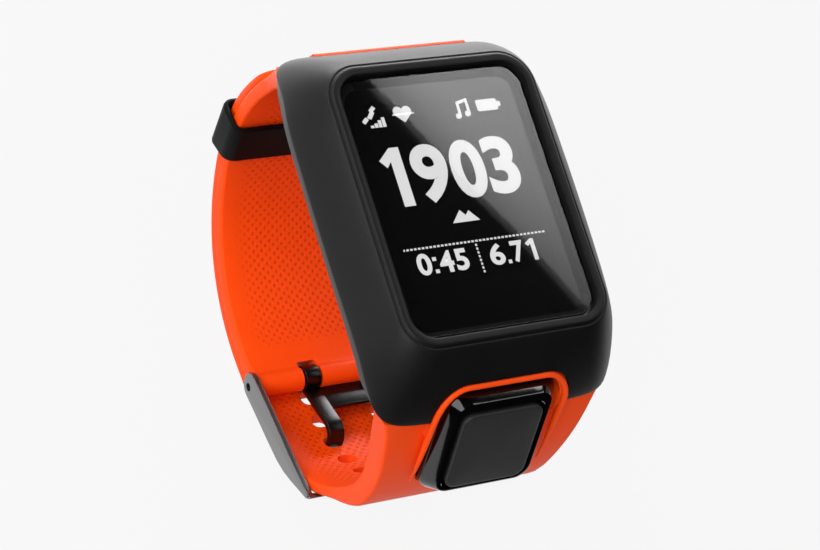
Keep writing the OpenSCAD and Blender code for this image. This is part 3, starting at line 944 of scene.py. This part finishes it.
def disc(bm, x, radius, depth, segments=24):
    """A round about the pin's axis, its middle at x."""
    place = Matrix.Translation((x, PIN.y, PIN.z)) @ Matrix.Rotation(math.pi / 2, 4, "Y")
    bmesh.ops.create_cone(
        bm, cap_ends=True, segments=segments, radius1=radius, radius2=radius, depth=depth, matrix=place)


def heading(turn):
    return Vector((math.cos(turn), math.sin(turn)))


def buckle_piece():
    """Two side plates that taper away from the pin, and the bar that joins them under the strap."""
    line = [
        (-9.07, -33.6), (-12.8, -32.5), (-16.6, -31.45), (-20.0, -30.45),
        (-21.9, -29.75), (-23.8, -28.8), (-25.6, -27.8), (-27.5, -26.75),
    ]
    outline = ribbon(line, [1.95, 1.93, 1.9, 1.82, 1.62, 1.26, 0.88, 0.5], 14)
    bm = bmesh.new()
    for side in (-1, 1):
        prism(bm, outline, side * (BUCKLE_HW - PLATE_T), side * BUCKLE_HW)
    bmesh.ops.recalc_face_normals(bm, faces=bm.faces)
    soften(bm, 0.14, 3, 50)
    turns = steps(0, 2 * math.pi, 24)[:-1]
    bar = [polar(BAR_A + 1.7 * math.cos(t), BAR_R + 0.27 * math.sin(t)).yz for t in turns]
    prism(bm, bar, -BUCKLE_HW + 0.2, BUCKLE_HW - 0.2)
    piece = finished("buckle_side_plates", bm, GUNMETAL, "buckle", ["buckle_frame"], 35)
    cut = bmesh.new()
    for side in (-1, 1):
        disc(cut, side * BUCKLE_HW, 0.62, 2.6)
    carve(piece, cut)
    return piece


def pin_piece():
    bm = bmesh.new()
    disc(bm, 0, 0.58, 2 * BUCKLE_HW - 0.7)
    soften(bm, 0.12, 2, 60)
    return finished("buckle_spring_pin", bm, DARK_STEEL, "case", ["buckle_pin"], 40)


def tang_piece():
    """Two knuckles on the pin, a web between them and two prongs whose tips bend into the holes."""
    slope = math.radians(29)
    lean, end = math.radians(180 - 29), math.radians(250)
    t, bend = 0.9, 1.9
    start = Vector((PIN.y, PIN.z)) - (BARREL_R - t / 2) * Vector((math.sin(slope), math.cos(slope)))
    ahead = heading(lean)
    elbow = start + 8.2 * ahead
    centre = elbow + bend * Vector((-ahead.y, ahead.x))
    line = [start.lerp(elbow, k / 10) for k in range(10)]
    line += [centre + bend * heading(q) for q in steps(lean - math.pi / 2, end - math.pi / 2, 12)]
    line.append(line[-1] + heading(end))
    outline = ribbon(line, [t / 2] * len(line), 6)
    bm = bmesh.new()
    for x in (-HOLE_X, HOLE_X):
        prism(bm, outline, x - 1.2, x + 1.2)
        disc(bm, x, 1.72, 2.4, 40)
    web = [start + 1.6 * ahead, start + 5.3 * ahead]
    prism(bm, ribbon(web, [t / 2 - 0.04] * 2, 4), -HOLE_X, HOLE_X)
    bmesh.ops.recalc_face_normals(bm, faces=bm.faces)
    soften(bm, 0.16, 3, 40)
    return finished("buckle_prongs", bm, DARK_STEEL, "tang", ["buckle_tang"], 35)


buckle_piece()
pin_piece()
tang_piece()


# ---------------------------------------------------------------- lens and display
def lens_piece():
    """The glass, with an eased edge and a narrow level ring that keeps the reflection flat."""
    edge, level = 0.25, 0.1

    def ring(inset, z):
        points = rounded_rect(LENS_X - inset, LENS_Y - inset, LENS_CORNER - inset, 12, (4, 4))
        return at_z(points, z, LENS_MID)

    bm = bmesh.new()
    loft(bm, [
        ring(0.0, LENS_UNDER), ring(0.0, LENS_TOP - edge), ring(edge * 0.3, LENS_TOP - edge * 0.3),
        ring(edge, LENS_TOP), ring(edge + level, LENS_TOP),
    ])
    return finished("lens_pane", bm, LENS, "case", ["lens_glass"], 50)


lens_piece()
DISPLAY_X, DISPLAY_Y = 10.9, 12.6


def mask_piece():
    """The black print under the lens, with a window for the display."""
    bm = bmesh.new()
    outer = rounded_rect(LENS_X - 0.1, LENS_Y - 0.1, LENS_CORNER, 12, (10, 10))
    window = rounded_rect(DISPLAY_X, DISPLAY_Y, 0.3, 12, (10, 10))
    z_high, z_low = LENS_UNDER - 0.01, LENS_UNDER - 0.05
    loft(bm, [
        at_z(outer, z_low, LENS_MID), at_z(outer, z_high, LENS_MID),
        at_z(window, z_high), at_z(window, z_low), at_z(outer, z_low, LENS_MID),
    ], caps=False)
    bmesh.ops.remove_doubles(bm, verts=bm.verts, dist=0.0001)
    return finished("lens_mask_print", bm, MASK, "case", sharp=30)


mask_piece()
SEGMENT_T = 0.03
SEGMENT_Z = IMAGE_Z + SEGMENT_T


def flat_shape(bm, points):
    """A flat outline on the display, made a thin closed plate."""
    loft(bm, [[Vector((p[0], p[1], z)) for p in points] for z in (SEGMENT_Z, SEGMENT_Z + SEGMENT_T)])


def box_shape(bm, x0, y0, x1, y1):
    flat_shape(bm, [(x0, y0), (x1, y0), (x1, y1), (x0, y1)])


def numeral(text, low, high, weight):
    """Digits made from the built-in font, stretched to fill a box on the display."""
    curve = bpy.data.curves.new("digits", "FONT")
    curve.body = text
    curve.offset = weight
    curve.resolution_u = 6
    source = bpy.data.objects.new("digits", curve)
    SCENE.collection.objects.link(source)
    bpy.context.view_layer.update()
    mesh = bpy.data.meshes.new_from_object(source.evaluated_get(bpy.context.evaluated_depsgraph_get()))
    bpy.data.objects.remove(source)
    bm = bmesh.new()
    bm.from_mesh(mesh)
    bmesh.ops.remove_doubles(bm, verts=bm.verts, dist=1e-5)
    xs = [v.co.x for v in bm.verts]
    ys = [v.co.y for v in bm.verts]
    for v in bm.verts:
        v.co.x = low[0] + (v.co.x - min(xs)) / (max(xs) - min(xs)) * (high[0] - low[0])
        v.co.y = low[1] + (v.co.y - min(ys)) / (max(ys) - min(ys)) * (high[1] - low[1])
        v.co.z = SEGMENT_Z
    grown = bmesh.ops.extrude_face_region(bm, geom=bm.faces)["geom"]
    raised = [v for v in grown if isinstance(v, bmesh.types.BMVert)]
    bmesh.ops.translate(bm, verts=raised, vec=(0, 0, SEGMENT_T))
    return bm


def figure_one(bm, x0, x1, low_y, high_y):
    """A one: a stem with a flag to its left."""
    width, height = x1 - x0, high_y - low_y
    stem = x1 - 0.2 * height
    outline = [
        (stem, low_y), (x1, low_y), (x1, high_y), (stem + 0.03 * height, high_y),
        (x0, high_y - 0.2 * height), (x0 + 0.28 * width, high_y - 0.33 * height),
        (stem, high_y - 0.23 * height),
    ]
    flat_shape(bm, outline)


def digits_piece(name, spans, low_y, high_y, weight):
    """One piece from several digits, each in its own span across."""
    total = bmesh.new()
    for text, x0, x1 in spans:
        if text == "1":
            figure_one(total, x0, x1, low_y, high_y)
            continue
        one = numeral(text, (x0, low_y), (x1, high_y), weight)
        mesh = bpy.data.meshes.new("part")
        one.to_mesh(mesh)
        one.free()
        total.from_mesh(mesh)
    return finished(name, total, LIT, "case", sharp=20)


# Each reading's digits with their left and right edges
LARGE = [("1", -10.2, -6.9), ("9", -5.85, -0.6), ("0", -0.15, 4.95), ("3", 5.1, 9.9)]
LEFT = [("0", -9.5, -7.4), ("4", -6.2, -4.1), ("5", -3.8, -1.9)]
RIGHT = [("6", 1.4, 3.6), ("7", 4.8, 6.7), ("1", 7.1, 8.5)]
digits_piece("reading_large", LARGE, -1.9, 6.4, 0.035)
digits_piece("reading_left", LEFT, -11.5, -8.5, 0.03)
digits_piece("reading_right", RIGHT, -11.5, -8.5, 0.03)


def icons_piece():
    """Signal, heart, note and battery icons, a two-peak height icon and the dotted rules."""
    bm = bmesh.new()
    for i, top in enumerate((9.75, 10.0, 10.4, 10.75)):
        box_shape(bm, -9.8 + 0.6 * i, 9.4, -9.32 + 0.6 * i, top)
    for x, y in ((-10.3, 10.5), (-8.85, 12.0)):
        flat_shape(bm, [(x - 0.6, y - 0.1), (x - 0.2, y - 0.5), (x + 0.5, y + 0.1), (x + 0.1, y + 0.5)])
    flat_shape(bm, [(-10.0, 10.9), (-9.4, 10.6), (-8.7, 11.5), (-9.2, 11.8)])
    box_shape(bm, -6.2, 10.82, -2.9, 10.98)
    heart = [Vector((-4.6, 9.7))]
    heart += arc_points((-3.95, 11.3), 0.72, -40, 150, 8)
    heart += arc_points((-5.25, 11.3), 0.72, 30, 220, 8)
    flat_shape(bm, heart)
    note = [
        (3.15, 9.5), (3.6, 9.3), (4.05, 9.6), (4.1, 11.4), (5.1, 11.7), (5.1, 10.4), (4.7, 10.3),
        (4.6, 9.8), (5.0, 9.5), (5.5, 9.8), (5.5, 12.2), (3.7, 11.8), (3.65, 10.2), (3.2, 10.0),
    ]
    flat_shape(bm, note)
    flat_shape(bm, [tuple(p + Vector((8.3, 10.9))) for p in rounded_rect(1.6, 0.82, 0.25, 3, (1, 1))])
    box_shape(bm, 9.85, 10.55, 10.4, 11.25)
    flat_shape(bm, [(-2.4, -5.0), (-0.9, -3.3), (-0.2, -4.1), (0.4, -3.5), (1.7, -5.0)])
    for i in range(38):
        box_shape(bm, -10.95 + i * 0.574, -7.92, -10.6 + i * 0.574, -7.66)
    for i in range(8):
        box_shape(bm, -0.24, -8.5 - i * 0.53, 0.02, -8.2 - i * 0.53)
    box_shape(bm, -7.1, -11.4, -6.55, -10.9)
    box_shape(bm, -7.1, -9.7, -6.55, -9.2)
    box_shape(bm, 3.9, -11.5, 4.4, -11.0)
    return finished("display_icons", bm, LIT, "case", sharp=20)


icons_piece()


# ---------------------------------------------------------------- button pod
def pod_ring(half_x, half_y, radius, n, shift):
    """A rounded rectangle square to the pod's lean, n out from the pad's face and shift up it."""
    points = rounded_rect(half_x, half_y, radius, 10, (8, 8))
    return [POD_FRAME @ Vector((p.x, p.y + shift, n)) for p in points]


def pod_piece():
    rings = [
        pod_ring(8.5, 8.35, 2.2, -4.1, 0.45),
        pod_ring(8.6, 8.42, 2.4, -2.7, 0.45),
        pod_ring(8.5, 8.34, 2.4, -2.4, 0.45),
        pod_ring(7.42, 7.66, 2.2, -0.86, 0.38),
        pod_ring(7.24, 7.54, 2.1, -0.66, 0.38),
        pod_ring(7.0, 7.34, 2.0, -0.6, 0.36),
        pod_ring(6.6, 6.76, 1.75, -0.6, -0.1),
        pod_ring(6.48, 6.66, 1.7, -0.68, -0.1),
        pod_ring(6.45, 6.63, 1.7, -1.9, -0.1),
    ]
    bm = bmesh.new()
    loft(bm, rings)
    return finished("button_pod_housing", bm, GLOSS_BLACK, "case", ["button_pod"], 28)


def pad_piece():
    rings = [
        pod_ring(6.0, 6.1, 1.5, -1.25, -0.1),
        pod_ring(6.1, 6.2, 1.6, -1.05, -0.1),
        pod_ring(6.1, 6.2, 1.6, -0.42, -0.1),
        pod_ring(6.02, 6.14, 1.55, -0.26, -0.1),
        pod_ring(5.87, 5.97, 1.45, -0.2, -0.1),
        pod_ring(5.64, 5.74, 1.3, -0.18, -0.1),
    ]
    for shrink in (0.7, 0.45, 0.2):
        crown = -0.18 + 0.14 * (1 - shrink ** 2)
        rings.append(pod_ring(6.2 * shrink, 6.3 * shrink, 1.5 * shrink, crown, -0.1))
    bm = bmesh.new()
    loft(bm, rings)
    return finished("four_way_pad", bm, PAD, "pad", ["button_pad"], 40)


pod_piece()
pad_piece()


# ---------------------------------------------------------------- floor, lights, camera
def pale_floor():
    material = bpy.data.materials.new("studio_floor")
    material.use_nodes = True
    shader = material.node_tree.nodes["Principled BSDF"]
    shader.inputs["Base Color"].default_value = (0.04, 0.04, 0.04, 1)
    shader.inputs["Roughness"].default_value = 0.9
    shader.inputs["Specular IOR Level"].default_value = 0.0
    shader.inputs["Emission Color"].default_value = (1, 1, 1, 1)
    shader.inputs["Emission Strength"].default_value = 0.892
    bpy.ops.mesh.primitive_plane_add(size=6.0, location=(0, 0, CAD_BOX[0].z - 0.0002))
    floor = bpy.context.object
    floor.name = "studio_floor"
    floor.data.materials.append(material)
    floor.visible_diffuse = False


def area_light(name, place, aim, size, power):
    data = bpy.data.lights.new(name, "AREA")
    data.shape = "RECTANGLE"
    data.size, data.size_y = size
    data.energy = power
    lamp = bpy.data.objects.new(name, data)
    SCENE.collection.objects.link(lamp)
    lamp.location = place
    lamp.rotation_euler = (Vector(aim) - Vector(place)).to_track_quat("-Z", "Y").to_euler()
    return lamp


# The camera looks from the lower left of the display, turned a little about its own axis
CAMERA = Vector((-178.7, -104.0, 291.8))
CAMERA_RIGHT = Vector((0.8603, -0.2910, 0.4186))
CAMERA_UP = Vector((0.1256, 0.9168, 0.3792))
LENS_LENGTH = 117.5


def studio_camera():
    data = bpy.data.cameras.new("camera")
    data.lens = LENS_LENGTH
    data.sensor_width = 36
    data.clip_start = 0.01
    data.clip_end = 20
    camera = bpy.data.objects.new("camera", data)
    SCENE.collection.objects.link(camera)
    back = CAMERA_RIGHT.cross(CAMERA_UP).normalized()
    right = CAMERA_UP.cross(back).normalized()
    up = back.cross(right)
    turn = Matrix((right, up, back)).transposed().to_4x4()
    camera.matrix_world = Matrix.Translation(CAMERA * MM) @ turn
    SCENE.camera = camera


def stage_card(name, corners, material):
    """A flat card, corners in millimetres, that only gloss sees."""
    bm = bmesh.new()
    bm.faces.new([bm.verts.new(Vector(p) * MM) for p in corners])
    mesh = bpy.data.meshes.new(name)
    bm.to_mesh(mesh)
    bm.free()
    mesh.materials.append(material)
    card = bpy.data.objects.new(name, mesh)
    SCENE.collection.objects.link(card)
    card.visible_camera = False
    card.visible_diffuse = False
    card.visible_transmission = False
    card.visible_shadow = False


def gloss_card(name, corners, glow):
    """An even card: black where the studio is dark, lit where a reflector stands."""
    f = Finish(name, (0.0, 0.0, 0.0), 1.0, Specular_IOR_Level=0.0, Emission_Strength=glow)
    f.set("Emission Color", (1.0, 1.0, 1.0, 1.0))
    stage_card(name, corners, f.material)


def softbox_card():
    """A lit card that shows only in gloss: its mirror image covers the lens from corner to corner."""
    height = 240.0
    k = height / (CAMERA.z - LENS_TOP)

    def above(x, y):
        return Vector((x + k * (x - CAMERA.x), y + k * (y - CAMERA.y), LENS_TOP + height))

    edge = [(-9.6, 17.0), (-5.0, 9.6), (0.0, 0.9), (5.0, -6.6), (9.5, -14.4), (13.2, -21.4)]
    outline = edge + [(24.0, -21.4), (24.0, 17.0)]
    f = Finish("softbox", (0, 0, 0), 1.0, Emission_Strength=11.0)
    x, y, z = f.axes()
    lens_x = (x + k * CAMERA.x) / (1 + k)
    lens_y = (y + k * CAMERA.y) / (1 + k)
    off_edge = (lens_x * 0.86 + lens_y * 0.51) / 9.0 + 0.12
    fade = (lens_y + 24.0) / 42.0
    glow = f.ramp(off_edge, [(0.0, (0.28, 0.28, 0.28)), (0.55, (0.8, 0.8, 0.8)), (1.0, (1, 1, 1))])
    f.set("Emission Color", f.mix(fade, (0.25, 0.25, 0.25), glow))
    stage_card("softbox_card", [above(*p) for p in outline], f.material)


pale_floor()
world = bpy.data.worlds.new("studio")
world.use_nodes = True
world.node_tree.nodes["Background"].inputs["Color"].default_value = (1, 1, 1, 1)
world.node_tree.nodes["Background"].inputs["Strength"].default_value = 0.34
SCENE.world = world
area_light("key", (-0.25, 0.3, 0.45), (0, 0, 0), (0.35, 0.35), 1.2)
area_light("side", (-0.5, 0.12, 0.25), (0, 0, -0.01), (0.3, 0.3), 1.5).visible_glossy = False
area_light("front_fill", (-0.45, -0.22, 0.42), (0, 0, -0.02), (0.5, 0.5), 2.2).visible_glossy = False
area_light("low_fill", (0.05, -0.5, 0.02), (0, 0, -0.01), (0.5, 0.3), 0.35).visible_glossy = False
gloss_card("floor_flag", [(-60, -85, -38.8), (90, -85, -38.8), (90, -10, -38.8), (-60, -10, -38.8)], 0.0)
area_light("rear", (0.25, 0.6, 0.04), (0, 0.02, 0.01), (0.6, 0.14), 4.0)
gloss_card("pod_corner_card", [(-170, -84, 70), (-60, -84, 70), (-60, -30, 150), (-170, -30, 150)], 2.5)
gloss_card("pod_top_card", [(120, -45, 262), (260, -45, 262), (260, 30, 262), (120, 30, 262)], 2.6)
gloss_card("front_flag", [(-400, -85, -38), (400, -85, -38), (400, -85, 400), (-400, -85, 400)], 0.0)
gloss_card("top_flag", [(-150, -84, 300), (500, -84, 300), (500, 500, 300), (-150, 500, 300)], 0.0)
gloss_card("rear_reflector", [(-60, 40, -38), (260, 40, -38), (260, 260, -38), (-60, 260, -38)], 2.2)
studio_camera()
softbox_card()
SCENE.view_settings.view_transform = "Standard"
